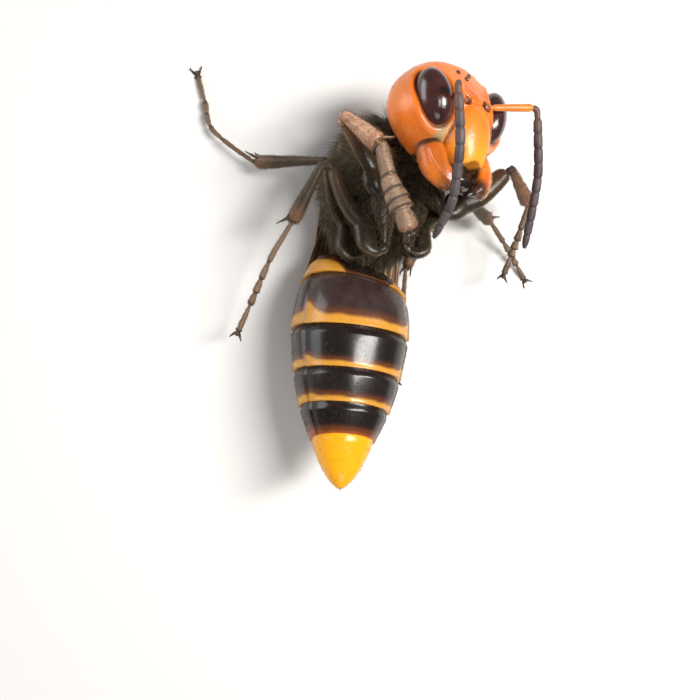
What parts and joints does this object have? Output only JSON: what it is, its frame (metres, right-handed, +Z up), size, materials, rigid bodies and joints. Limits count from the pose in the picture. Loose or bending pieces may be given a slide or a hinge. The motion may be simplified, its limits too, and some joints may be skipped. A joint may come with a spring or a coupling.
{
  "type": "asian giant hornet, still life-size model",
  "caption": "Life-size still model of an asian giant hornet queen lying on its back, orange head turned aside, wings folded under a banded gaster.",
  "frame": {"origin": "on the floor, on the small flat of the thorax's back that the model lies on", "axes": "+Z up, out of the belly; +Y along the body towards the head; +X to the hornet's left"},
  "size_m": [0.0455, 0.0478, 0.0237],
  "materials": {
    "head_shell": "smooth orange insect shell, softly glossy",
    "thorax_shell": "dark brown insect shell under short olive-brown hair",
    "gaster_shell": "glossy brown-black insect shell with yellow-orange rear bands",
    "eye": "very dark red-brown compound eye, glossy",
    "feeler": "dark grey-brown feeler, finely ringed",
    "leg_dark": "dark brown leg shell with fine hairs",
    "leg_pale": "pinkish tan leg shell with fine hairs",
    "wing": "thin smoky amber membrane with brown veins"
  },
  "bodies": {
    "root": {"antenna_left_base": "feeler", "antenna_left_scape": "head_shell", "antenna_left_tip": "feeler", "antenna_right_base": "feeler", "antenna_right_scape": "head_shell", "antenna_right_tip": "feeler", "eye_left": "eye", "eye_right": "eye", "forewing_left": "wing", "forewing_right": "wing", "gaster_1": "gaster_shell", "gaster_2": "gaster_shell", "gaster_3": "gaster_shell", "gaster_4": "gaster_shell", "gaster_5": "gaster_shell", "gaster_6": "gaster_shell", "head": "head_shell", "hindwing_left": "wing", "hindwing_right": "wing", "leg_fore_left_coxa": "leg_dark", "leg_fore_left_femur": "leg_dark", "leg_fore_left_tarsus": "leg_pale", "leg_fore_left_tibia": "leg_pale", "leg_fore_right_coxa": "leg_dark", "leg_fore_right_femur": "leg_dark", "leg_fore_right_tarsus": "leg_pale", "leg_fore_right_tibia": "leg_pale", "leg_hind_left_coxa": "leg_dark", "leg_hind_left_femur": "leg_dark", "leg_hind_left_tarsus": "leg_pale", "leg_hind_left_tibia": "leg_pale", "leg_hind_right_coxa": "leg_dark", "leg_hind_right_femur": "leg_dark", "leg_hind_right_tarsus": "leg_pale", "leg_hind_right_tibia": "leg_pale", "leg_mid_left_coxa": "leg_dark", "leg_mid_left_femur": "leg_dark", "leg_mid_left_tarsus": "leg_pale", "leg_mid_left_tibia": "leg_pale", "leg_mid_right_coxa": "leg_dark", "leg_mid_right_femur": "leg_dark", "leg_mid_right_tarsus": "leg_pale", "leg_mid_right_tibia": "leg_pale", "mandible_left": "head_shell", "mandible_right": "head_shell", "mesothorax": "thorax_shell", "mouthparts": "thorax_shell", "neck": "thorax_shell", "pronotum": "thorax_shell", "propodeum": "thorax_shell", "tegula_left": "thorax_shell", "tegula_right": "thorax_shell"}
  },
  "joints": []
}
